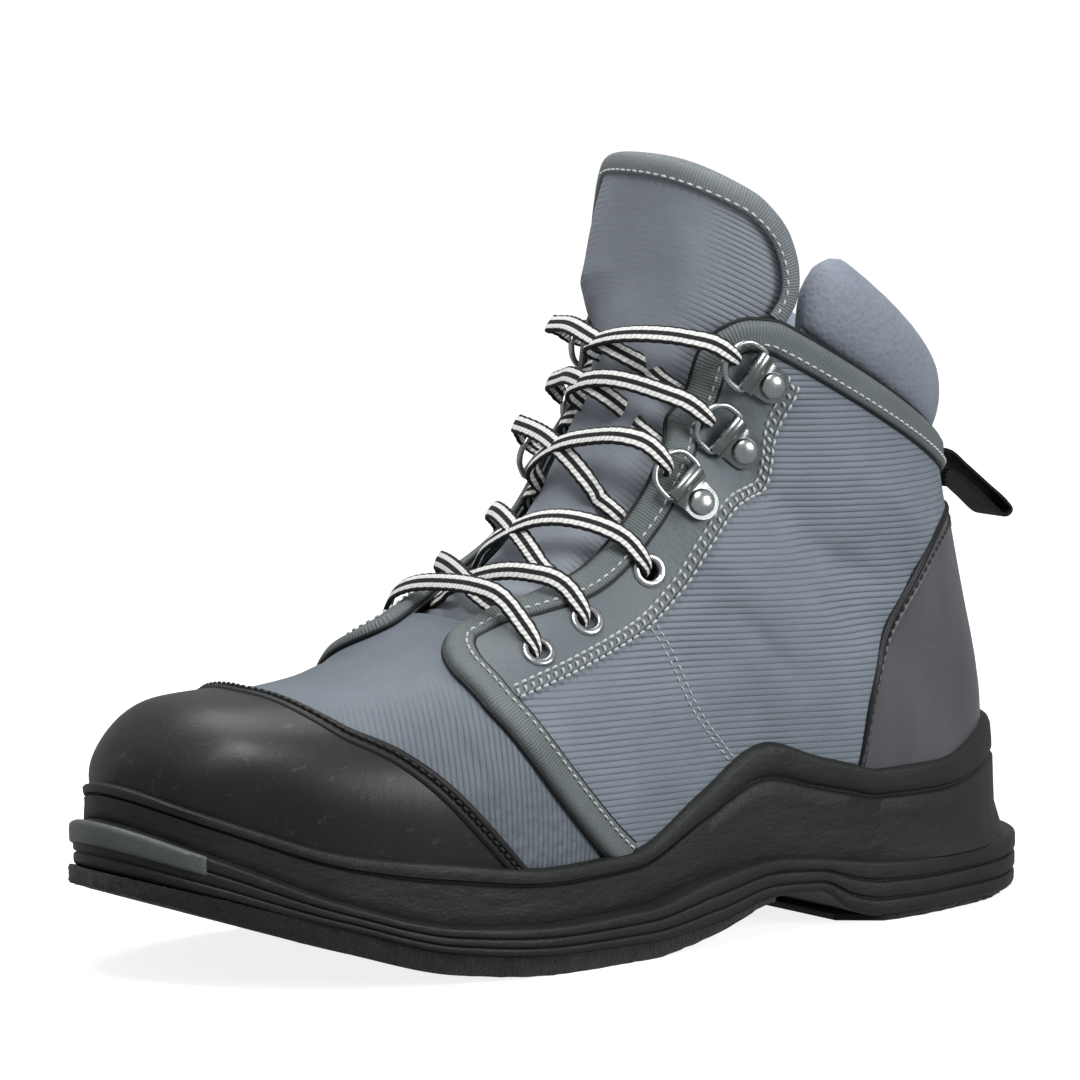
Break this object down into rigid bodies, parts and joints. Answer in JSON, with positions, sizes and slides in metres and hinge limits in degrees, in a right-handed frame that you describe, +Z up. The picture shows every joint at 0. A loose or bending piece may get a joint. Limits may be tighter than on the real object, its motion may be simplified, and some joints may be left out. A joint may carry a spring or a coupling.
{
  "type": "wading boot",
  "caption": "Lace-up felt-soled wading boot for the left foot, with hard toe cap, heel counter, ribbed rubber sole unit, padded tongue and collar, ring lacing and a heel pull loop.",
  "frame": {"origin": "on the floor, under the middle of the boot's box", "axes": "+Z up, toe towards -Y, the left boot's outer side towards +X"},
  "size_m": [0.1194, 0.325, 0.2266],
  "materials": {
    "quarter_cloth": "woven, grey blue",
    "eyestay_panel": "smooth coated cloth",
    "binding_tape": "grosgrain tape",
    "collar_cloth": "padded knit",
    "tongue_cloth": "padded, ribbed",
    "toe_cap_coating": "semi-gloss",
    "counter_coating": "semi-gloss",
    "sole_rubber": "matt moulded",
    "bumper_rubber": "matt moulded",
    "sole_felt": "needled felt",
    "insole_foam": "cloth over foam",
    "ring_metal": "plain metal",
    "lace_cord": "flat woven, two light stripes",
    "loop_webbing": "woven webbing"
  },
  "bodies": {
    "root": {"upper": "quarter_cloth", "eyestay_outer": "eyestay_panel", "eyestay_inner": "eyestay_panel", "toe_cap": "toe_cap_coating", "heel_counter": "counter_coating", "edge_binding": "binding_tape", "collar_pad": "collar_cloth", "tongue": "tongue_cloth", "tongue_binding": "binding_tape", "rand": "sole_rubber", "sole_unit": "sole_rubber", "outsole_heel": "sole_felt", "outsole_forefoot": "sole_felt", "insole": "insole_foam", "insole_toe": "insole_foam", "toe_bumper": "bumper_rubber", "lace_bar": "lace_cord", "pull_loop": "loop_webbing", "lace_cross_1": "lace_cord", "lace_cross_2": "lace_cord", "lace_cross_3": "lace_cord", "lace_cross_4": "lace_cord", "lace_cross_5": "lace_cord", "eyelet_outer_1": "ring_metal", "eyelet_outer_2": "ring_metal", "eyelet_outer_3": "ring_metal", "eyelet_inner_1": "ring_metal", "eyelet_inner_2": "ring_metal", "eyelet_inner_3": "ring_metal", "clip_outer_1": "ring_metal", "clip_outer_2": "ring_metal", "clip_outer_3": "ring_metal", "clip_inner_1": "ring_metal", "clip_inner_2": "ring_metal", "clip_inner_3": "ring_metal", "rivet_outer_1": "ring_metal", "rivet_outer_2": "ring_metal", "rivet_outer_3": "ring_metal", "rivet_inner_1": "ring_metal", "rivet_inner_2": "ring_metal", "rivet_inner_3": "ring_metal", "ring_outer_1": "ring_metal", "ring_outer_2": "ring_metal", "ring_outer_3": "ring_metal", "ring_inner_1": "ring_metal", "ring_inner_2": "ring_metal", "ring_inner_3": "ring_metal"}
  },
  "joints": []
}
